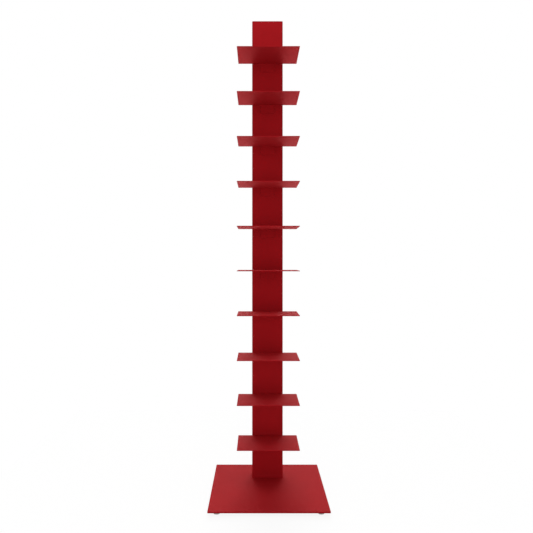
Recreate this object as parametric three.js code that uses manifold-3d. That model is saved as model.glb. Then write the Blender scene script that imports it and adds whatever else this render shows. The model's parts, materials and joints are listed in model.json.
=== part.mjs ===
// A tall, narrow bookcase. One steel column stands near the back of a square base plate and
// carries a row of thin shelves at its front, so that the books piled on them hide the column.
// Each shelf is one bent sheet that hooks into slots in the column's front wall and lifts off.
// Four feet screw into nuts under the base plate, to level it.
//
// Millimetres, +Z up, the front towards -Y and +X to the right as seen from the front.
// The origin is on the floor, under the centre of the base plate.

import * as THREE from "three";
import { mergeVertices } from "three/addons/utils/BufferGeometryUtils.js";
import Module from "manifold-3d";

const wasm = await Module();
wasm.setup();

// Clearances
const seatGap = 0.3; // between a piece and the seat that it rests on or slides along
const sideGap = 0.5; // at each side of a hook in its slot
const cutOverrun = 1; // how far a cutter runs past the faces that it cuts

// Base plate
const baseWidth = 350;
const baseDepth = 350;
const baseThickness = 4.5;
const baseCornerRadius = 2;

// Column
const columnWidth = 100;
const columnDepth = 50;
const columnWall = 2;
const columnCornerRadius = 4;
const columnToBaseBack = 65; // from the column's rear face to the base plate's rear edge
const columnAboveTopShelf = 138;

// Cap in the column's top end
const capThickness = 3;
const capPlugDepth = 12;
const capPlugWall = 2;

// Foot plate inside the column's bottom end
const footPlateThickness = 6;
const boltInsetX = 16; // from the foot plate's edge to a bolt's axis
const boltInsetY = 11;

// Shelves
const shelfCount = 10;
const shelfWidth = 190;
const shelfDepth = 140;
const shelfThickness = 2;
const shelfCornerRadius = 1.5;
const lowestShelfRise = 140; // from the base plate's top to the lowest shelf's top
const shelfPitch = 135;

// The tab bent down from each shelf's rear edge
const tabWidth = 45;
const tabBendRadius = 1.5; // inside the bend
const tabAboveSlot = 4; // from the shelf's underside to the slots that the tab hides
const tabBelowHook = 4.7;
const reliefWidth = 2; // the notch that frees each side of the bend
const reliefDepth = 1; // how far that notch runs in past the bend

// The two hooks behind each tab
const hookWidth = 10;
const hookThickness = 2.5;
const hookLip = 8; // how far the lip hangs behind the column's wall, and so the shelf's lift
const hookToTabSide = 4;

// Feet
const footInset = 25; // from the base plate's edges to a foot's axis
const padRadius = 10;
const padHeight = 4.7;
const padEdge = 0.8; // chamfer round the pad's bottom
const padFloor = 1.5; // what is left of the pad under the stud
const studRadius = 4;
const studTip = 0.6; // chamfer round the stud's ends
const studPocketDepth = 2.5; // blind hole in the base plate over the stud
const nutAcrossFlats = 13;
const nutHeight = 5.5;

// Bolts and washers that hold the base plate to the column
const boltRadius = 4;
const boltTip = 0.6; // chamfer round the bolt's end
const boltPastPlate = 3; // how far a bolt stands out above the foot plate
const boltHoleGap = 0.5; // round a bolt where it passes the base plate and the washer
const boltAcrossFlats = 13;
const boltHeadHeight = 4;
const washerRadius = 8;
const washerThickness = 1.6;
const hexChamferShare = 0.12; // of a nut's or head's height, cut off its corners

// How finely round things are divided
const cornerSegments = 3;
const bendSegments = 5;
const roundSegments = 24;
const hexSides = 6;

// Heights
const underside = padHeight + seatGap + nutHeight;
const baseTop = underside + baseThickness;
const shelfTops = Array.from({ length: shelfCount }, (_, i) => baseTop + lowestShelfRise + i * shelfPitch);
const columnTop = shelfTops[shelfCount - 1] + columnAboveTopShelf;
const tubeTop = columnTop - capThickness;

// Depths, from the base plate's centre
const columnBack = baseDepth / 2 - columnToBaseBack;
const columnFront = columnBack - columnDepth;
const columnY = (columnFront + columnBack) / 2;
const shelfBack = columnFront - seatGap;
const shelfFront = columnFront - shelfDepth;

// The hooks and their slots, measured down from a shelf's underside
const slotHeight = seatGap + hookThickness + hookLip + seatGap;
const slotWidth = hookWidth + 2 * sideGap;
const slotBottomDrop = tabAboveSlot + slotHeight;
const hookDrop = slotBottomDrop - seatGap; // to the underside of the hook's bar
const tabDrop = hookDrop + hookLip + tabBelowHook;
const hookX = tabWidth / 2 - hookToTabSide - hookWidth / 2;

// Inside the column
const innerWidth = columnWidth - 2 * columnWall;
const innerDepth = columnDepth - 2 * columnWall;
const innerRadius = Math.max(columnCornerRadius - columnWall, seatGap);
const fittedWidth = innerWidth - 2 * seatGap;
const fittedDepth = innerDepth - 2 * seatGap;
const boltX = fittedWidth / 2 - boltInsetX;
const boltY = fittedDepth / 2 - boltInsetY;

const left = -1;
const right = 1;
const fourCorners = [
  [left, -1],
  [right, -1],
  [left, 1],
  [right, 1],
];

// Materials
const redPaint = new THREE.MeshStandardMaterial({ color: 0xa51d20, roughness: 0.42, metalness: 0 });
const zincSteel = new THREE.MeshStandardMaterial({ color: 0xb4b6ba, roughness: 0.35, metalness: 1 });
const palePlastic = new THREE.MeshStandardMaterial({ color: 0xc9c6c2, roughness: 0.5, metalness: 0 });

// A closed geometry as a solid that can be joined and cut.
function toSolid(geometry) {
  const bare = geometry.clone();
  bare.deleteAttribute("normal");
  bare.deleteAttribute("uv");
  const merged = mergeVertices(bare);
  return new wasm.Manifold(
    new wasm.Mesh({
      numProp: 3,
      vertProperties: new Float32Array(merged.attributes.position.array),
      triVerts: new Uint32Array(merged.index.array),
    }),
  );
}

// A solid as a geometry with flat-shaded faces.
function toGeometry(solid) {
  const mesh = solid.getMesh();
  const geometry = new THREE.BufferGeometry();
  geometry.setAttribute("position", new THREE.BufferAttribute(mesh.vertProperties, mesh.numProp));
  geometry.setIndex(new THREE.BufferAttribute(mesh.triVerts, 1));
  const flat = geometry.toNonIndexed();
  flat.computeVertexNormals();
  return flat;
}

function roundedRectangle(width, depth, radius) {
  const x = width / 2 - radius;
  const y = depth / 2 - radius;
  const shape = new THREE.Shape();
  shape.absarc(x, y, radius, 0, Math.PI / 2);
  shape.absarc(-x, y, radius, Math.PI / 2, Math.PI);
  shape.absarc(-x, -y, radius, Math.PI, (3 * Math.PI) / 2);
  shape.absarc(x, -y, radius, (3 * Math.PI) / 2, 2 * Math.PI);
  shape.closePath();
  return shape;
}

// A flat outline drawn in X and Y, raised from z = low to z = high.
function raise(shape, low, high) {
  const geometry = new THREE.ExtrudeGeometry(shape, {
    depth: high - low,
    bevelEnabled: false,
    curveSegments: cornerSegments,
  });
  return geometry.translate(0, 0, low);
}

// An outline drawn in Y and Z, swept along X over the given width, centred on x.
function sweepAcross(shape, width, x) {
  const geometry = new THREE.ExtrudeGeometry(shape, {
    depth: width,
    bevelEnabled: false,
    curveSegments: bendSegments,
  });
  const alongX = new THREE.Matrix4().makeBasis(
    new THREE.Vector3(0, 1, 0),
    new THREE.Vector3(0, 0, 1),
    new THREE.Vector3(1, 0, 0),
  );
  return geometry.applyMatrix4(alongX).translate(x - width / 2, 0, 0);
}

function box(width, depth, height, x, y, z) {
  return new THREE.BoxGeometry(width, depth, height).translate(x, y, z);
}

// An upright cylinder from z = low to z = high.
function upright(radius, low, high, x, y) {
  const geometry = new THREE.CylinderGeometry(radius, radius, high - low, roundSegments);
  return geometry.rotateX(Math.PI / 2).translate(x, y, (low + high) / 2);
}

// A profile of [radius, height] points, turned about the Z axis.
function turned(points) {
  const profile = points.map(([radius, z]) => new THREE.Vector2(radius, z));
  return new THREE.LatheGeometry(profile, roundSegments).rotateX(Math.PI / 2);
}

// A six-sided block with its corners chamfered at both ends, from z = low to z = high.
function hexBlock(acrossFlats, low, high) {
  const flatRadius = acrossFlats / 2;
  const cornerRadius = flatRadius / Math.cos(Math.PI / hexSides);
  const chamfer = hexChamferShare * (high - low);
  const prism = new THREE.CylinderGeometry(cornerRadius, cornerRadius, high - low, hexSides)
    .rotateX(Math.PI / 2)
    .translate(0, 0, (low + high) / 2);
  const rounded = turned([
    [0, low],
    [flatRadius, low],
    [cornerRadius, low + chamfer],
    [cornerRadius, high - chamfer],
    [flatRadius, high],
    [0, high],
  ]);
  return toSolid(prism).intersect(toSolid(rounded));
}

// A round bar with both ends chamfered, from z = low to z = high.
function chamferedBar(radius, chamfer, low, high) {
  return turned([
    [0, low],
    [radius - chamfer, low],
    [radius, low + chamfer],
    [radius, high - chamfer],
    [radius - chamfer, high],
    [0, high],
  ]);
}

function basePlateGeometry() {
  const outline = roundedRectangle(baseWidth, baseDepth, baseCornerRadius);
  let solid = toSolid(raise(outline, underside, baseTop));
  for (const [x, y] of boltPlaces()) {
    const hole = upright(boltRadius + boltHoleGap, underside - cutOverrun, baseTop + cutOverrun, x, y);
    solid = solid.subtract(toSolid(hole));
  }
  for (const [x, y] of footPlaces()) {
    const pocketTop = underside + studPocketDepth;
    const pocket = upright(studRadius + sideGap, underside - cutOverrun, pocketTop, x, y);
    solid = solid.subtract(toSolid(pocket));
  }
  return toGeometry(solid);
}

// The tube, with two slots in its front wall for each shelf.
function columnTubeGeometry() {
  const section = roundedRectangle(columnWidth, columnDepth, columnCornerRadius);
  section.holes.push(roundedRectangle(innerWidth, innerDepth, innerRadius));
  let solid = toSolid(raise(section, baseTop, tubeTop).translate(0, columnY, 0));
  const cutDepth = columnWall + 2 * cutOverrun;
  const cutY = columnFront + columnWall / 2;
  for (const shelfTop of shelfTops) {
    const slotZ = shelfTop - shelfThickness - slotBottomDrop + slotHeight / 2;
    for (const side of [left, right]) {
      const slot = box(slotWidth, cutDepth, slotHeight, side * hookX, cutY, slotZ);
      solid = solid.subtract(toSolid(slot));
    }
  }
  return toGeometry(solid);
}

// The cap: a plate over the tube's end, with a hollow plug inside the tube.
function columnCapGeometry() {
  const plate = raise(roundedRectangle(columnWidth, columnDepth, columnCornerRadius), tubeTop, columnTop);
  const plugSection = roundedRectangle(fittedWidth, fittedDepth, innerRadius);
  const hollowRadius = Math.max(innerRadius - capPlugWall, seatGap);
  plugSection.holes.push(
    roundedRectangle(fittedWidth - 2 * capPlugWall, fittedDepth - 2 * capPlugWall, hollowRadius),
  );
  const plug = raise(plugSection, tubeTop - capPlugDepth, tubeTop + capThickness / 2);
  return toGeometry(toSolid(plate).add(toSolid(plug))).translate(0, columnY, 0);
}

function footPlateGeometry() {
  const top = baseTop + footPlateThickness;
  const outline = roundedRectangle(fittedWidth, fittedDepth, innerRadius);
  let solid = toSolid(raise(outline, baseTop, top).translate(0, columnY, 0));
  for (const [x, y] of boltPlaces()) {
    const hole = upright(boltRadius + seatGap, baseTop - cutOverrun, top + cutOverrun, x, y);
    solid = solid.subtract(toSolid(hole));
  }
  return toGeometry(solid);
}

// A flat sheet with a strip at the middle of its rear edge bent down as the tab.
function shelfGeometry(shelfTop) {
  const bottom = shelfTop - shelfThickness;
  const outerBend = tabBendRadius + shelfThickness;
  const bendStart = shelfBack - outerBend;
  const notchFront = bendStart - reliefDepth;
  const notchWidth = tabWidth + 2 * reliefWidth;
  const sheetDepth = shelfBack - shelfFront;
  const sheetOutline = roundedRectangle(shelfWidth, sheetDepth, shelfCornerRadius);
  const sheet = raise(sheetOutline, bottom, shelfTop).translate(0, (shelfBack + shelfFront) / 2, 0);
  const notchDepth = shelfBack + cutOverrun - notchFront;
  const notchHeight = shelfThickness + 2 * cutOverrun;
  const notchY = notchFront + notchDepth / 2;
  const notch = box(notchWidth, notchDepth, notchHeight, 0, notchY, bottom + shelfThickness / 2);

  const strip = new THREE.Shape();
  strip.moveTo(notchFront - reliefDepth, bottom);
  strip.lineTo(bendStart, bottom);
  strip.absarc(bendStart, shelfTop - outerBend, tabBendRadius, Math.PI / 2, 0, true);
  strip.lineTo(shelfBack - shelfThickness, bottom - tabDrop);
  strip.lineTo(shelfBack, bottom - tabDrop);
  strip.lineTo(shelfBack, shelfTop - outerBend);
  strip.absarc(bendStart, shelfTop - outerBend, outerBend, 0, Math.PI / 2);
  strip.lineTo(notchFront - reliefDepth, shelfTop);
  strip.closePath();
  const bentStrip = sweepAcross(strip, tabWidth, 0);
  return toGeometry(toSolid(sheet).subtract(toSolid(notch)).add(toSolid(bentStrip)));
}

// A bar through the slot, with a lip that hangs behind the column's front wall.
function hookGeometry(shelfTop, side) {
  const barBottom = shelfTop - shelfThickness - hookDrop;
  const barTop = barBottom + hookThickness;
  const lipFront = columnFront + columnWall + seatGap;
  const lipBack = lipFront + hookThickness;
  const profile = new THREE.Shape();
  profile.moveTo(shelfBack, barBottom);
  profile.lineTo(lipFront, barBottom);
  profile.lineTo(lipFront, barBottom - hookLip);
  profile.lineTo(lipBack, barBottom - hookLip);
  profile.absarc(lipBack - hookThickness, barTop - hookThickness, hookThickness, 0, Math.PI / 2);
  profile.lineTo(shelfBack, barTop);
  profile.closePath();
  return sweepAcross(profile, hookWidth, side * hookX);
}

// The disc that stands on the floor, with a blind hole for its stud.
function footPadGeometry() {
  const socketRadius = studRadius + seatGap;
  return turned([
    [0, 0],
    [padRadius - padEdge, 0],
    [padRadius, padEdge],
    [padRadius, padHeight - padEdge],
    [padRadius - padEdge, padHeight],
    [socketRadius, padHeight],
    [socketRadius, padFloor],
    [0, padFloor],
  ]);
}

function footStudGeometry() {
  return chamferedBar(studRadius, studTip, padFloor, underside + studPocketDepth - seatGap);
}

function footNutGeometry() {
  const low = underside - nutHeight;
  const bore = upright(studRadius + seatGap, low - cutOverrun, underside + cutOverrun, 0, 0);
  return toGeometry(hexBlock(nutAcrossFlats, low, underside).subtract(toSolid(bore)));
}

function baseBoltGeometry() {
  const headTop = underside - washerThickness;
  const tip = baseTop + footPlateThickness + boltPastPlate;
  const shank = chamferedBar(boltRadius, boltTip, headTop - boltHeadHeight / 2, tip);
  return toGeometry(hexBlock(boltAcrossFlats, headTop - boltHeadHeight, headTop).add(toSolid(shank)));
}

function baseWasherGeometry() {
  const low = underside - washerThickness;
  const holeRadius = boltRadius + boltHoleGap;
  return turned([
    [holeRadius, low],
    [washerRadius, low],
    [washerRadius, underside],
    [holeRadius, underside],
    [holeRadius, low],
  ]);
}

// The axes of the four bolts.
function boltPlaces() {
  return fourCorners.map(([x, y]) => [x * boltX, columnY + y * boltY]);
}

// The axes of the four feet.
function footPlaces() {
  const x = baseWidth / 2 - footInset;
  const y = baseDepth / 2 - footInset;
  return fourCorners.map(([sideX, sideY]) => [sideX * x, sideY * y]);
}

const bookcase = new THREE.Group();

function addPiece(name, geometry, material, x = 0, y = 0) {
  const mesh = new THREE.Mesh(geometry, material);
  mesh.name = name;
  mesh.position.set(x, y, 0);
  bookcase.add(mesh);
}

addPiece("base_plate", basePlateGeometry(), redPaint);
addPiece("column_tube", columnTubeGeometry(), redPaint);
addPiece("column_foot_plate", footPlateGeometry(), redPaint);
addPiece("column_top_cap", columnCapGeometry(), redPaint);

boltPlaces().forEach(([x, y], i) => {
  addPiece(`base_bolt_${i + 1}`, baseBoltGeometry(), zincSteel, x, y);
  addPiece(`base_washer_${i + 1}`, baseWasherGeometry(), zincSteel, x, y);
});

shelfTops.forEach((shelfTop, i) => {
  addPiece(`shelf_${i + 1}`, shelfGeometry(shelfTop), redPaint);
  addPiece(`shelf_${i + 1}_hook_left`, hookGeometry(shelfTop, left), redPaint);
  addPiece(`shelf_${i + 1}_hook_right`, hookGeometry(shelfTop, right), redPaint);
});

footPlaces().forEach(([x, y], i) => {
  addPiece(`foot_pad_${i + 1}`, footPadGeometry(), palePlastic, x, y);
  addPiece(`foot_stud_${i + 1}`, footStudGeometry(), zincSteel, x, y);
  addPiece(`foot_nut_${i + 1}`, footNutGeometry(), redPaint, x, y);
});

export default bookcase;
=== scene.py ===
# A tall, narrow bookcase: thin red shelves at the front of one steel column on a square base.
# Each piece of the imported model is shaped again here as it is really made, from folded sheet,
# rolled tube, cut bar and moulded plastic, with the powder coat rounding its edges.
#
# Metres, +Z up, the front towards -Y and +X to the right as seen from the front.

import json
import math
from collections import namedtuple

import bmesh
import bpy
from mathutils import Matrix, Vector


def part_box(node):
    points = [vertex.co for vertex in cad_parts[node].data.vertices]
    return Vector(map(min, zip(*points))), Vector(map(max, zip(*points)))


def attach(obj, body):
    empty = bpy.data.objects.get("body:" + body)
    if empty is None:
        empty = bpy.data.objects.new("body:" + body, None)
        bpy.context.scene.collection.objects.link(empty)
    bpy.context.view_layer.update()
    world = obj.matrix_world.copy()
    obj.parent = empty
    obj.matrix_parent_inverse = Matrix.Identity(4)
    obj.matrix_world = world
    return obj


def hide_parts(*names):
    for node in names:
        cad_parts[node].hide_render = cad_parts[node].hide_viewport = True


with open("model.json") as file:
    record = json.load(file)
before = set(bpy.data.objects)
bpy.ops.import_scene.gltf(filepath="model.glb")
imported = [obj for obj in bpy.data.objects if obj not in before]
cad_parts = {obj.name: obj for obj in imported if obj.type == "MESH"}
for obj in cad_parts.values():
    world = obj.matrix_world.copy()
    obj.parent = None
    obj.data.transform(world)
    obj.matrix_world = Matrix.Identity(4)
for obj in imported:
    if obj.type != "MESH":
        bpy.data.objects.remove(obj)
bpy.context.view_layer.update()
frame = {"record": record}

mm = 0.001

# How many there are of what repeats
shelf_count = 10
bolt_count = 4
foot_count = 4
hook_sides = ("left", "right")

# Sheet, tube and their coated edges
sheet_thickness = 2 * mm
sheet_corner_radius = 1.5 * mm
sheet_edge = 0.5 * mm
plate_corner_radius = 2 * mm
plate_edge = 0.7 * mm
tube_wall = 2 * mm
tube_corner_radius = 4 * mm
tube_edge = 0.4 * mm
foot_plate_edge = 0.4 * mm

# The tab bent down from each shelf's rear edge
tab_width = 45 * mm
tab_corner_radius = 2 * mm
bend_radius = 1.5 * mm
relief_width = 2 * mm
relief_depth = 1 * mm
relief_radius = 0.9 * mm
notch_lip_radius = 0.6 * mm

# The hooks behind the tab and the slots that they hang in
hook_thickness = 2.5 * mm
hook_corner_radius = 0.6 * mm
hook_edge = 0.4 * mm
hook_tip_radius = 0.8 * mm
slot_gap = 0.3 * mm
slot_side_gap = 0.5 * mm
slot_corner_radius = 1 * mm

# The cap in the column's top end
cap_thickness = 3 * mm
cap_plug_gap = 0.3 * mm
cap_plug_wall = 2 * mm
cap_edge = 0.8 * mm
cap_seam_edge = 0.5 * mm
cap_plug_edge = 0.4 * mm

# Bolts, studs, nuts and washers
thread_radius = 4 * mm
thread_depth = 0.7 * mm
thread_pitch = 1.25 * mm
thread_fade = 1 * mm
hex_sides = 6
hex_flat_radius = 6.5 * mm
hex_chamfer_slope = math.tan(math.radians(30))
hex_face_share = 0.95
bolt_head_height = 4 * mm
bolt_neck_height = 2 * mm
bolt_hole_gap = 0.5 * mm
foot_plate_hole_gap = 0.3 * mm
nut_bore_gap = 0.1 * mm
washer_bore_radius = 4.5 * mm
washer_edge = 0.25 * mm

# Levelling feet
pad_floor = 1.5 * mm
pad_edge = 0.8 * mm
pad_top_edge = 0.6 * mm
pad_flute_depth = 0.35 * mm
pad_flutes = 16
stud_pocket_radius = 4.5 * mm
stud_pocket_gap = 0.3 * mm

# How far a cutter runs past what it cuts, and how near to a dividing line a point lies on it
cut_overrun = 1 * mm
on_line_within = 0.001 * mm

# How finely round things are divided
corner_steps = 6
edge_steps = 3
bend_steps = 8
round_steps = 96
thread_levels = 8
smooth_below = math.radians(35)

# Colours, as linear red, green and blue. The haze tints the coat's sheen, and the bounce is how
# the floor colours the light that it throws back at the object.
white = (1.0, 1.0, 1.0)
powder_red = (0.401, 0.0071, 0.0111)
powder_red_deep = (0.360, 0.0064, 0.0100)
powder_haze = (1.0, 0.04, 0.05)
zinc_grey = (0.46, 0.47, 0.49)
zinc_dull = (0.36, 0.37, 0.38)
moulded_grey = (0.58, 0.55, 0.53)
moulded_grey_dark = (0.50, 0.47, 0.455)
floor_bounce = (0.8, 0.8, 0.8)

# A noise pattern with so many grains to the metre, finer grains within it, and a stretch
Grain = namedtuple("Grain", "scale detail stretch", defaults=(2, (1, 1, 1)))

# A fine relief: its pattern, how high it stands and how much of that is kept
Relief = namedtuple("Relief", "grain height strength")

# The part of a noise pattern's range that holds nearly all of it
noise_low = 0.3
noise_high = 0.7

# Powder coat
powder_clouds = Grain(scale=14, detail=3)
powder_speckle = Grain(scale=1600, detail=1)
powder_speckle_share = 0.35
powder_satin = Grain(scale=320)
powder_roughness = (0.75, 0.87)
powder_specular = 0.08
powder_sheen = 0.235
powder_sheen_roughness = 0.3
powder_peel = Relief(Grain(scale=420, detail=1), height=0.04 * mm, strength=0.5)
powder_grit = Relief(Grain(scale=2400), height=0.01 * mm, strength=0.4)

# Zinc plate
zinc_patches = Grain(scale=180, detail=4)
zinc_satin = Grain(scale=500, detail=3)
zinc_roughness = (0.28, 0.48)
zinc_marks = Relief(Grain(scale=900, stretch=(1, 1, 0.15)), height=0.02 * mm, strength=0.4)

# Moulded plastic
plastic_flow = Grain(scale=120, detail=3, stretch=(1, 1, 3))
plastic_satin = Grain(scale=700)
plastic_roughness = (0.48, 0.62)
plastic_sparks = Relief(Grain(scale=3000), height=0.015 * mm, strength=0.5)

# The floor, and the room that lights the bookcase: an even level and soft lobes of more light.
# In degrees, a lobe is turned from the front (90 is to the right), rises above the horizon and
# spreads. Where the room is seen, its level is plain white.
floor_reach = 0.9
floor_glow_share = 0.9
floor_roughness = 1
floor_specular = 0
seen_level = 1
room_level = 0.47
Lobe = namedtuple("Lobe", "turn rise spread level")
lobes = (
    Lobe(turn=180, rise=35.5, spread=28, level=6.1),
    Lobe(turn=180, rise=-35, spread=16, level=13.85),
    Lobe(turn=0, rise=-4.5, spread=47, level=0.84),
    Lobe(turn=0, rise=75, spread=30, level=0.4),
)

# A softbox in front of the column's top and above it, in metres and watts
softbox_place = (0, -1.0, 2.3)
softbox_aim = (0, 0.06, 1.44)
softbox_size = 0.6
softbox_watts = 4.4

# Camera, in metres, with its frame in pixels of the photograph
photo_side = 533
focal_pixels = 531.48
principal_x = 257.09
principal_y = 261.29
sensor_width = 36.0
camera_place = (-0.0339, -1.677, 0.7231)

# Which of an outline's x, its y and its level (0, 1 and 2) gives X, Y and Z in space
upright = (0, 1, 2)
along_x = (2, 0, 1)
along_y = (0, 2, 1)

body_of = {
    node: body
    for body, nodes in frame["record"]["behaviour"]["bodies"].items()
    for node in nodes
}
slot_of = {part["node"]: part["material_slot"] for part in frame["record"]["subparts"]}


def rounded_outline(corners):
    """A counter-clockwise outline through corners of (x, y, radius), each one rounded."""
    points = []
    for i, (x, y, radius) in enumerate(corners):
        corner = Vector((x, y))
        before = (Vector(corners[i - 1][:2]) - corner).normalized()
        after = (Vector(corners[(i + 1) % len(corners)][:2]) - corner).normalized()
        half_angle = before.angle(after) / 2
        start = corner + before * radius / math.tan(half_angle)
        end = corner + after * radius / math.tan(half_angle)
        centre = corner + (before + after).normalized() * radius / math.sin(half_angle)
        arm = start - centre
        sweep = math.atan2(arm.cross(end - centre), arm.dot(end - centre))
        for step in range(corner_steps + 1):
            points.append(centre + Matrix.Rotation(sweep * step / corner_steps, 2) @ arm)
    return points


def rectangle(low, high, radius):
    """The rounded outline of a box seen from above."""
    return rounded_outline([
        (low.x, low.y, radius),
        (high.x, low.y, radius),
        (high.x, high.y, radius),
        (low.x, high.y, radius),
    ])


def inset(outline, amount):
    """The outline moved into the shape by an amount."""
    moved = []
    for i, point in enumerate(outline):
        arriving = (point - outline[i - 1]).normalized()
        leaving = (outline[(i + 1) % len(outline)] - point).normalized()
        inward = Vector((-arriving.y - leaving.y, arriving.x + leaving.x))
        moved.append(point + inward * amount / (1 + arriving.dot(leaving)))
    return moved


def quarter_round(radius):
    """Pairs of (inset, rise) round an edge, from the flat face to the wall."""
    turns = [math.pi / 2 * step / edge_steps for step in range(edge_steps + 1)]
    return [(radius * (1 - math.sin(turn)), radius * (1 - math.cos(turn))) for turn in turns]


def ring_at(outline, amount, level, axes=upright):
    """An inset outline as a ring in space. The axes say which of x, y and level gives X, Y and Z."""
    ring = []
    for point in inset(outline, amount):
        values = (point.x, point.y, level)
        ring.append(Vector([values[axis] for axis in axes]))
    return ring


def slab_rings(outline, low, high, edge, axes=upright):
    """Rings round a slab with rounded edges, from its lower face to its upper one."""
    rim = quarter_round(edge)
    lower = [ring_at(outline, amount, low + rise, axes) for amount, rise in rim]
    upper = [ring_at(outline, amount, high - rise, axes) for amount, rise in reversed(rim)]
    return lower + upper


def round_ring(centre, radius, level):
    """A ring about an upright axis. The radius and the level may depend on the angle."""
    ring = []
    for step in range(round_steps):
        angle = 2 * math.pi * step / round_steps
        reach = radius(angle) if callable(radius) else radius
        height = level(angle) if callable(level) else level
        x = centre.x + reach * math.cos(angle)
        y = centre.y + reach * math.sin(angle)
        ring.append(Vector((x, y, height)))
    return ring


def hex_radius(angle):
    """How far a hexagonal nut or head, with flats to the left and right, reaches at an angle."""
    sector = 2 * math.pi / hex_sides
    return hex_flat_radius / math.cos((angle + sector / 2) % sector - sector / 2)


def hex_rings(centre, low, high):
    """Rings round a hexagonal block whose corners are chamfered at both ends."""
    face_radius = hex_flat_radius * hex_face_share

    def chamfer(angle):
        return (hex_radius(angle) - face_radius) * hex_chamfer_slope

    return [
        round_ring(centre, face_radius, low),
        round_ring(centre, hex_radius, lambda angle: low + chamfer(angle)),
        round_ring(centre, hex_radius, lambda angle: high - chamfer(angle)),
        round_ring(centre, face_radius, high),
    ]


def thread_rings(centre, low, high):
    """Rings round a threaded bar that runs out smoothly at both ends."""
    turns = (high - low) / thread_pitch
    levels = math.ceil(turns * thread_levels)

    def ring(level):
        depth_share = min((level - low) / thread_fade, (high - level) / thread_fade, 1)

        def radius(angle):
            phase = ((level - low) / thread_pitch - angle / (2 * math.pi)) % 1
            ridge = 1 - abs(2 * phase - 1)
            return thread_radius - thread_depth * (1 - ridge * depth_share)

        return round_ring(centre, radius, level)

    return [ring(low + (high - low) * i / levels) for i in range(levels + 1)]


def add_loft(shape, rings, closed=False):
    """Adds a closed surface over rings of equally many points. An open chain gets end faces."""
    loops = [[shape.verts.new(point) for point in ring] for ring in rings]
    neighbours = list(zip(loops, loops[1:]))
    if closed:
        neighbours.append((loops[-1], loops[0]))
    else:
        shape.faces.new(loops[0][::-1])
        shape.faces.new(loops[-1])
    for lower, upper in neighbours:
        for i in range(len(lower)):
            shape.faces.new((lower[i - 1], lower[i], upper[i], upper[i - 1]))
    bmesh.ops.recalc_face_normals(shape, faces=shape.faces)


def lofted(rings, closed=False):
    """A new shape with one closed surface over rings."""
    shape = bmesh.new()
    add_loft(shape, rings, closed)
    return shape


def object_from(shape, name):
    """Makes a shape into an object of the scene."""
    mesh = bpy.data.meshes.new(name)
    shape.to_mesh(mesh)
    shape.free()
    made = bpy.data.objects.new(name, mesh)
    bpy.context.scene.collection.objects.link(made)
    return made


def cut(piece, cutters):
    """Cuts the closed surfaces in one mesh out of a piece."""
    tool = object_from(cutters, "cutter")
    modifier = piece.modifiers.new("cut", "BOOLEAN")
    modifier.operation = "DIFFERENCE"
    modifier.solver = "EXACT"
    modifier.object = tool
    scene_graph = bpy.context.evaluated_depsgraph_get()
    result = bpy.data.meshes.new_from_object(piece.evaluated_get(scene_graph))
    piece.modifiers.clear()
    piece.data = result
    bpy.data.meshes.remove(tool.data)


def dress(piece, node):
    """Finishes a piece and lets it stand for its CAD node."""
    piece.data.materials.clear()
    piece.data.materials.append(finishes[slot_of[node]])
    piece.data.shade_smooth()
    piece.data.set_sharp_from_angle(angle=smooth_below)
    shading = piece.modifiers.new("even_shading", "WEIGHTED_NORMAL")
    shading.keep_sharp = True
    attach(piece, body_of[node])
    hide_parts(node)


def add_piece(node, shape):
    """A piece for the CAD node, with no cuts."""
    dress(object_from(shape, f"{node}_made"), node)


def middle(node):
    """The middle of the CAD node's box."""
    low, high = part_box(node)
    return (low + high) / 2


def numbered(name, count):
    """The names of the copies of a piece."""
    return [f"{name}_{i + 1}" for i in range(count)]


def make_base_plate():
    """A plate with four bolt holes, and pockets underneath for the ends of the feet's studs."""
    low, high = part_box("base_plate")
    outline = rectangle(low, high, plate_corner_radius)
    plate = object_from(lofted(slab_rings(outline, low.z, high.z, plate_edge)), "base_plate_made")
    cutters = bmesh.new()
    hole_radius = thread_radius + bolt_hole_gap
    for bolt in numbered("base_bolt", bolt_count):
        ends = (low.z - cut_overrun, high.z + cut_overrun)
        add_loft(cutters, [round_ring(middle(bolt), hole_radius, level) for level in ends])
    for stud in numbered("foot_stud", foot_count):
        stud_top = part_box(stud)[1].z
        ends = (low.z - cut_overrun, stud_top + stud_pocket_gap)
        add_loft(cutters, [round_ring(middle(stud), stud_pocket_radius, level) for level in ends])
    cut(plate, cutters)
    dress(plate, "base_plate")


def make_column_tube():
    """A tube open at both ends, with two slots in its front wall for each shelf."""
    low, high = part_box("column_tube")
    outer = rectangle(low, high, tube_corner_radius)
    wall = Vector((tube_wall, tube_wall, 0))
    inner = rectangle(low + wall, high - wall, tube_corner_radius - tube_wall)
    rings = slab_rings(outer, low.z, high.z, tube_edge)
    rings.append(ring_at(inner, 0, high.z))
    rings.append(ring_at(inner, 0, low.z))
    tube = object_from(lofted(rings, closed=True), "column_tube_made")
    cutters = bmesh.new()
    for shelf in numbered("shelf", shelf_count):
        for side in hook_sides:
            add_slot_cutter(cutters, f"{shelf}_hook_{side}", low.y)
    cut(tube, cutters)
    dress(tube, "column_tube")


def add_slot_cutter(cutters, hook, column_front):
    """A slot as high as the hook's bar and lip together, so that the hook can lift out."""
    low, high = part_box(hook)
    bar_bottom = high.z - hook_thickness
    lip_drop = bar_bottom - low.z
    bottom = bar_bottom - slot_gap
    top = high.z + lip_drop + slot_gap
    left = low.x - slot_side_gap
    right = high.x + slot_side_gap
    outline = rounded_outline([
        (left, bottom, slot_corner_radius),
        (right, bottom, slot_corner_radius),
        (right, top, slot_corner_radius),
        (left, top, slot_corner_radius),
    ])
    ends = (column_front - cut_overrun, column_front + tube_wall + cut_overrun)
    add_loft(cutters, [ring_at(outline, 0, level, along_y) for level in ends])


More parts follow.
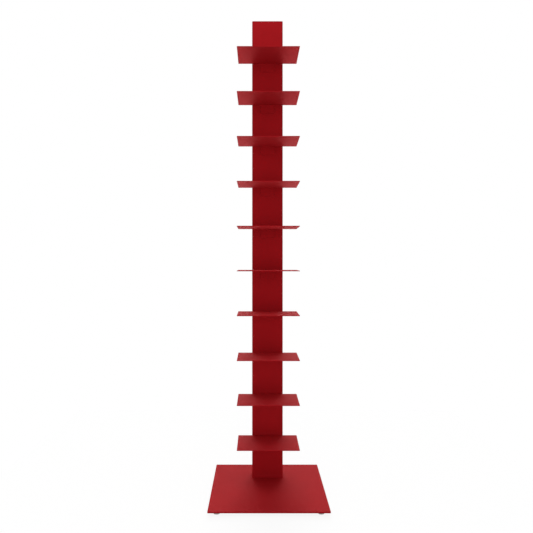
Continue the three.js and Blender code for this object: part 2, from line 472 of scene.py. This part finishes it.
def make_foot_plate():
    """The plate inside the column's lower end that the bolts hold."""
    low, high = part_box("column_foot_plate")
    outline = rectangle(low, high, tube_corner_radius - tube_wall)
    rings = slab_rings(outline, low.z, high.z, foot_plate_edge)
    plate = object_from(lofted(rings), "column_foot_plate_made")
    cutters = bmesh.new()
    hole_radius = thread_radius + foot_plate_hole_gap
    for bolt in numbered("base_bolt", bolt_count):
        ends = (low.z - cut_overrun, high.z + cut_overrun)
        add_loft(cutters, [round_ring(middle(bolt), hole_radius, level) for level in ends])
    cut(plate, cutters)
    dress(plate, "column_foot_plate")


def make_top_cap():
    """A plate over the tube's end. Its underside steps in to a hollow plug inside the tube."""
    low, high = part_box("column_top_cap")
    plate_low = high.z - cap_thickness
    outer = rectangle(low, high, tube_corner_radius)
    plug_inset = tube_wall + cap_plug_gap
    plug_margin = Vector((plug_inset, plug_inset, 0))
    plug = rectangle(low + plug_margin, high - plug_margin, tube_corner_radius - tube_wall)
    hollow_margin = plug_margin + Vector((cap_plug_wall, cap_plug_wall, 0))
    hollow = rectangle(low + hollow_margin, high - hollow_margin, cap_plug_edge)
    rings = [ring_at(outer, amount, high.z - rise) for amount, rise in quarter_round(cap_edge)]
    seam = quarter_round(cap_seam_edge)
    rings += [ring_at(outer, amount, plate_low + rise) for amount, rise in reversed(seam)]
    rings.append(ring_at(plug, 0, plate_low))
    plug_rim = quarter_round(cap_plug_edge)
    rings += [ring_at(plug, amount, low.z + rise) for amount, rise in reversed(plug_rim)]
    rings.append(ring_at(hollow, 0, low.z))
    rings.append(ring_at(hollow, 0, plate_low))
    add_piece("column_top_cap", lofted(rings))


def shelf_pattern(low, high, bend_start, flat_end):
    """The outline of the flat sheet, with the strip for the tab between two relief notches."""
    tab = tab_width / 2
    notch = tab + relief_width
    notch_front = bend_start - relief_depth
    half = [
        (high.x, low.y, sheet_corner_radius),
        (high.x, high.y, sheet_corner_radius),
        (notch, high.y, notch_lip_radius),
        (notch, notch_front, relief_radius),
        (tab, notch_front, relief_radius),
        (tab, flat_end, tab_corner_radius),
    ]
    other_half = [(-x, y, radius) for x, y, radius in reversed(half)]
    return rounded_outline(half + other_half)


def divide(shape, y, reach):
    """Divides the faces that lie within reach of the middle along a line across them."""
    faces = [face for face in shape.faces if all(abs(vert.co.x) < reach for vert in face.verts)]
    edges = {edge for face in faces for edge in face.edges}
    verts = {vert for face in faces for vert in face.verts}
    parts = [*verts, *edges, *faces]
    bmesh.ops.bisect_plane(
        shape, geom=parts, dist=on_line_within, plane_co=(0, y, 0), plane_no=(0, 1, 0)
    )


def bend_tab(shape, bend_start, mid_z):
    """Bends what lies behind the bend's start down round a cylinder, without stretching it."""
    mid_radius = bend_radius + sheet_thickness / 2
    arc = mid_radius * math.pi / 2
    reach = tab_width / 2 + relief_width / 2
    for vert in shape.verts:
        along = vert.co.y - bend_start
        if along <= 0 or abs(vert.co.x) > reach:
            continue
        radius = mid_radius + vert.co.z - mid_z
        angle = min(along / arc, 1) * math.pi / 2
        straight = max(along - arc, 0)
        vert.co.y = bend_start + radius * math.sin(angle)
        vert.co.z = mid_z - mid_radius + radius * math.cos(angle) - straight


def make_shelf(node):
    """One sheet: the flat pattern is cut out, then its strip is bent down as the tab."""
    low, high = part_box(node)
    bottom = high.z - sheet_thickness
    bend_start = high.y - bend_radius - sheet_thickness
    arc = (bend_radius + sheet_thickness / 2) * math.pi / 2
    tab_drop = bottom - bend_radius - low.z
    outline = shelf_pattern(low, high, bend_start, bend_start + arc + tab_drop)
    sheet = lofted(slab_rings(outline, bottom, high.z, sheet_edge))
    divide(sheet, bend_start - relief_depth, high.x + cut_overrun)
    for step in range(bend_steps + 1):
        divide(sheet, bend_start + arc * step / bend_steps, (tab_width + relief_width) / 2)
    bend_tab(sheet, bend_start, bottom + sheet_thickness / 2)
    add_piece(node, sheet)


def make_hook(node):
    """A bar through the slot, with a lip that hangs behind the column's front wall."""
    low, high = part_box(node)
    bar_bottom = high.z - hook_thickness
    lip_front = high.y - hook_thickness
    outline = rounded_outline([
        (low.y, bar_bottom, hook_corner_radius),
        (lip_front, bar_bottom, hook_corner_radius),
        (lip_front, low.z, hook_tip_radius),
        (high.y, low.z, hook_tip_radius),
        (high.y, high.z, hook_thickness),
        (low.y, high.z, hook_corner_radius),
    ])
    add_piece(node, lofted(slab_rings(outline, low.x, high.x, hook_edge, along_x)))


def make_bolt(node):
    """A hexagonal head under the base plate and a threaded shank up into the foot plate."""
    low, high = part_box(node)
    centre = middle(node)
    head_top = low.z + bolt_head_height
    rings = hex_rings(centre, low.z, head_top)
    rings.append(round_ring(centre, thread_radius, head_top))
    rings.append(round_ring(centre, thread_radius, head_top + bolt_neck_height))
    rings += thread_rings(centre, head_top + bolt_neck_height, high.z)
    add_piece(node, lofted(rings))


def make_washer(node):
    """A flat ring with rounded outer edges."""
    low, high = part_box(node)
    centre = middle(node)
    outer = (high.x - low.x) / 2
    rim = quarter_round(washer_edge)
    rings = [round_ring(centre, washer_bore_radius, low.z)]
    rings += [round_ring(centre, outer - amount, low.z + rise) for amount, rise in rim]
    rings += [round_ring(centre, outer - amount, high.z - rise) for amount, rise in reversed(rim)]
    rings.append(round_ring(centre, washer_bore_radius, high.z))
    add_piece(node, lofted(rings, closed=True))


def make_nut(node):
    """A hexagonal weld nut round the stud."""
    low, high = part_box(node)
    centre = middle(node)
    bore = thread_radius + nut_bore_gap
    rings = [round_ring(centre, bore, low.z)]
    rings += hex_rings(centre, low.z, high.z)
    rings.append(round_ring(centre, bore, high.z))
    add_piece(node, lofted(rings, closed=True))


def make_stud(node):
    """A bar that is threaded from end to end."""
    low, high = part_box(node)
    add_piece(node, lofted(thread_rings(middle(node), low.z, high.z)))


def make_pad(node):
    """A moulded disc whose rim is fluted for the fingers, with the stud's socket in its top."""
    low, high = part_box(node)
    centre = middle(node)
    outer = (high.x - low.x) / 2

    def fluted(amount, depth_share):
        def radius(angle):
            groove = (1 - math.cos(pad_flutes * angle)) / 2
            return outer - amount - groove * pad_flute_depth * depth_share
        return radius

    lower_rim = quarter_round(pad_edge)
    upper_rim = quarter_round(pad_top_edge)
    rings = [
        round_ring(centre, fluted(amount, 1 - amount / pad_edge), low.z + rise)
        for amount, rise in lower_rim
    ]
    rings += [
        round_ring(centre, fluted(amount, 1 - amount / pad_top_edge), high.z - rise)
        for amount, rise in reversed(upper_rim)
    ]
    rings.append(round_ring(centre, thread_radius, high.z))
    rings.append(round_ring(centre, thread_radius, low.z + pad_floor))
    add_piece(node, lofted(rings))


def feed(tree, socket, value):
    """Links an output to a socket, or sets the socket to a plain value or colour."""
    if isinstance(value, bpy.types.NodeSocket):
        tree.links.new(value, socket)
    elif socket.type == "RGBA":
        socket.default_value = (*value, 1)
    else:
        socket.default_value = value


def math_node(tree, operation, first, second):
    """The result of a Math node on two values, each one given or linked."""
    node = tree.nodes.new("ShaderNodeMath")
    node.operation = operation
    first_socket, second_socket = node.inputs[:2]
    feed(tree, first_socket, first)
    feed(tree, second_socket, second)
    return node.outputs["Value"]


def colour_mix(tree, factor, first, second):
    """A colour between two, each one given or linked."""
    node = tree.nodes.new("ShaderNodeMix")
    node.data_type = "RGBA"
    sockets = {socket.identifier: socket for socket in (*node.inputs, *node.outputs)}
    feed(tree, sockets["Factor_Float"], factor)
    feed(tree, sockets["A_Color"], first)
    feed(tree, sockets["B_Color"], second)
    return sockets["Result_Color"]


class NodeMaterial:
    """A Principled material and short ways to feed its sockets with procedural patterns."""

    def __init__(self, name):
        self.material = bpy.data.materials.new(name)
        self.material.use_nodes = True
        self.tree = self.material.node_tree
        self.shader = self.tree.nodes["Principled BSDF"]
        self.place = self.tree.nodes.new("ShaderNodeTexCoord").outputs["Object"]

    def set(self, name, value):
        """Sets a socket of the shader, or links a pattern to it."""
        feed(self.tree, self.shader.inputs[name], value)

    def noise(self, grain):
        """A noise pattern that goes through the piece."""
        mapping = self.tree.nodes.new("ShaderNodeMapping")
        feed(self.tree, mapping.inputs["Vector"], self.place)
        feed(self.tree, mapping.inputs["Scale"], grain.stretch)
        pattern = self.tree.nodes.new("ShaderNodeTexNoise")
        feed(self.tree, pattern.inputs["Vector"], mapping.outputs["Vector"])
        feed(self.tree, pattern.inputs["Scale"], grain.scale)
        feed(self.tree, pattern.inputs["Detail"], grain.detail)
        return pattern.outputs["Fac"]

    def spread(self, grain, low=0, high=1):
        """A noise pattern, the middle of its range stretched to run from low to high."""
        ramp = self.tree.nodes.new("ShaderNodeMapRange")
        feed(self.tree, ramp.inputs["Value"], self.noise(grain))
        feed(self.tree, ramp.inputs["From Min"], noise_low)
        feed(self.tree, ramp.inputs["From Max"], noise_high)
        feed(self.tree, ramp.inputs["To Min"], low)
        feed(self.tree, ramp.inputs["To Max"], high)
        return ramp.outputs["Result"]

    def mixed(self, factor, first, second):
        """A colour between two."""
        return colour_mix(self.tree, factor, first, second)

    def raised(self, relief, under=None):
        """The surface with a fine relief, laid over another one where that is given."""
        bump = self.tree.nodes.new("ShaderNodeBump")
        feed(self.tree, bump.inputs["Height"], self.noise(relief.grain))
        feed(self.tree, bump.inputs["Distance"], relief.height)
        feed(self.tree, bump.inputs["Strength"], relief.strength)
        if under is not None:
            feed(self.tree, bump.inputs["Normal"], under)
        return bump.outputs["Normal"]


def powder_coat():
    """Satin red powder coat: a slight orange peel, faint clouds of colour and fine speckle."""
    coat = NodeMaterial("powder_coat")
    clouded = coat.mixed(coat.spread(powder_clouds), powder_red, powder_red_deep)
    speckle = coat.spread(powder_speckle, high=powder_speckle_share)
    coat.set("Base Color", coat.mixed(speckle, clouded, powder_red_deep))
    coat.set("Roughness", coat.spread(powder_satin, *powder_roughness))
    coat.set("Specular IOR Level", powder_specular)
    coat.set("Sheen Weight", powder_sheen)
    coat.set("Sheen Roughness", powder_sheen_roughness)
    coat.set("Sheen Tint", powder_haze)
    coat.set("Normal", coat.raised(powder_grit, under=coat.raised(powder_peel)))
    return coat.material


def zinc_plate():
    """Bright zinc plate with dull patches and fine marks from turning and tightening."""
    zinc = NodeMaterial("zinc_plate")
    zinc.set("Base Color", zinc.mixed(zinc.spread(zinc_patches), zinc_grey, zinc_dull))
    zinc.set("Metallic", 1)
    zinc.set("Roughness", zinc.spread(zinc_satin, *zinc_roughness))
    zinc.set("Normal", zinc.raised(zinc_marks))
    return zinc.material


def moulded_plastic():
    """Pale moulded plastic with a fine spark-eroded grain and faint flow marks."""
    plastic = NodeMaterial("moulded_plastic")
    flow = plastic.spread(plastic_flow)
    plastic.set("Base Color", plastic.mixed(flow, moulded_grey, moulded_grey_dark))
    plastic.set("Roughness", plastic.spread(plastic_satin, *plastic_roughness))
    plastic.set("Normal", plastic.raised(plastic_sparks))
    return plastic.material


def is_seen(tree):
    """One for rays that show the backdrop itself: from the camera, mirrored or let through."""
    path = tree.nodes.new("ShaderNodeLightPath")
    seen = path.outputs["Is Camera Ray"]
    for name in ("Is Glossy Ray", "Is Transmission Ray"):
        seen = math_node(tree, "MAXIMUM", seen, path.outputs[name])
    return seen


def soft_lobe(tree, direction, lobe):
    """A light level that rises smoothly towards the lobe's middle, and is none outside it."""
    turn = math.radians(lobe.turn)
    rise = math.radians(lobe.rise)
    lobe_x = math.sin(turn) * math.cos(rise)
    lobe_y = -math.cos(turn) * math.cos(rise)
    lobe_z = math.sin(rise)
    nearness = tree.nodes.new("ShaderNodeVectorMath")
    nearness.operation = "DOT_PRODUCT"
    looking, middle_way = nearness.inputs[:2]
    feed(tree, looking, direction)
    feed(tree, middle_way, (lobe_x, lobe_y, lobe_z))
    level = tree.nodes.new("ShaderNodeMapRange")
    level.interpolation_type = "SMOOTHSTEP"
    feed(tree, level.inputs["Value"], nearness.outputs["Value"])
    feed(tree, level.inputs["From Min"], math.cos(math.radians(lobe.spread)))
    feed(tree, level.inputs["From Max"], 1)
    feed(tree, level.inputs["To Max"], lobe.level)
    return level.outputs["Result"]


def make_world():
    """A white studio, lit softly from behind, in front and above. It is plain white where seen."""
    world = bpy.data.worlds.new("white_studio")
    world.use_nodes = True
    tree = world.node_tree
    direction = tree.nodes.new("ShaderNodeTexCoord").outputs["Generated"]
    level = room_level
    for lobe in lobes:
        level = math_node(tree, "ADD", soft_lobe(tree, direction, lobe), level)
    strength = tree.nodes.new("ShaderNodeMix")
    feed(tree, strength.inputs["Factor"], is_seen(tree))
    feed(tree, strength.inputs["A"], level)
    feed(tree, strength.inputs["B"], seen_level)
    background = tree.nodes["Background"]
    feed(tree, background.inputs["Color"], white)
    feed(tree, background.inputs["Strength"], strength.outputs["Result"])
    bpy.context.scene.world = world


def make_softbox():
    """One weak round lamp, out of the camera's sight."""
    data = bpy.data.lights.new("softbox", "AREA")
    data.shape = "DISK"
    data.size = softbox_size
    data.energy = softbox_watts
    lamp = bpy.data.objects.new("softbox", data)
    lamp.location = softbox_place
    aim = Vector(softbox_aim) - Vector(softbox_place)
    lamp.rotation_euler = aim.to_track_quat("-Z", "Y").to_euler()
    lamp.visible_camera = False
    bpy.context.scene.collection.objects.link(lamp)


def floor_material():
    """A white floor. Where it is seen it also glows evenly, which keeps the shadow faint."""
    material = bpy.data.materials.new("floor")
    material.use_nodes = True
    tree = material.node_tree
    seen = is_seen(tree)
    shader = tree.nodes["Principled BSDF"]
    feed(tree, shader.inputs["Base Color"], colour_mix(tree, seen, floor_bounce, white))
    feed(tree, shader.inputs["Roughness"], floor_roughness)
    feed(tree, shader.inputs["Specular IOR Level"], floor_specular)
    glow = tree.nodes.new("ShaderNodeEmission")
    blend = tree.nodes.new("ShaderNodeMixShader")
    share, lit, glowing = blend.inputs
    feed(tree, share, math_node(tree, "MULTIPLY", seen, floor_glow_share))
    feed(tree, lit, shader.outputs["BSDF"])
    feed(tree, glowing, glow.outputs["Emission"])
    feed(tree, tree.nodes["Material Output"].inputs["Surface"], blend.outputs["Shader"])
    return material


def make_floor():
    """A plain square floor. It isn't part of the bookcase."""
    shape = bmesh.new()
    bmesh.ops.create_grid(shape, x_segments=1, y_segments=1, size=floor_reach)
    floor = object_from(shape, "floor")
    floor.data.materials.append(floor_material())


def make_camera():
    """Level, looking along +Y. The shift puts its axis where the photograph has it."""
    data = bpy.data.cameras.new("camera")
    data.sensor_fit = "HORIZONTAL"
    data.sensor_width = sensor_width
    data.lens = focal_pixels * sensor_width / photo_side
    data.shift_x = (photo_side / 2 - principal_x) / photo_side
    data.shift_y = (principal_y - photo_side / 2) / photo_side
    camera = bpy.data.objects.new("camera", data)
    camera.location = camera_place
    camera.rotation_euler = (math.pi / 2, 0, 0)
    bpy.context.scene.collection.objects.link(camera)
    bpy.context.scene.camera = camera


def make_bookcase():
    """Every piece of the bookcase."""
    make_base_plate()
    make_column_tube()
    make_foot_plate()
    make_top_cap()
    for shelf in numbered("shelf", shelf_count):
        make_shelf(shelf)
        for side in hook_sides:
            make_hook(f"{shelf}_hook_{side}")
    for number in range(1, bolt_count + 1):
        make_bolt(f"base_bolt_{number}")
        make_washer(f"base_washer_{number}")
    for number in range(1, foot_count + 1):
        make_pad(f"foot_pad_{number}")
        make_stud(f"foot_stud_{number}")
        make_nut(f"foot_nut_{number}")


make_camera()
finishes = {
    "red_powder_coat": powder_coat(),
    "zinc_steel": zinc_plate(),
    "pale_plastic": moulded_plastic(),
}
make_bookcase()
make_world()
make_softbox()
make_floor()
bpy.context.scene.view_settings.view_transform = "Standard"
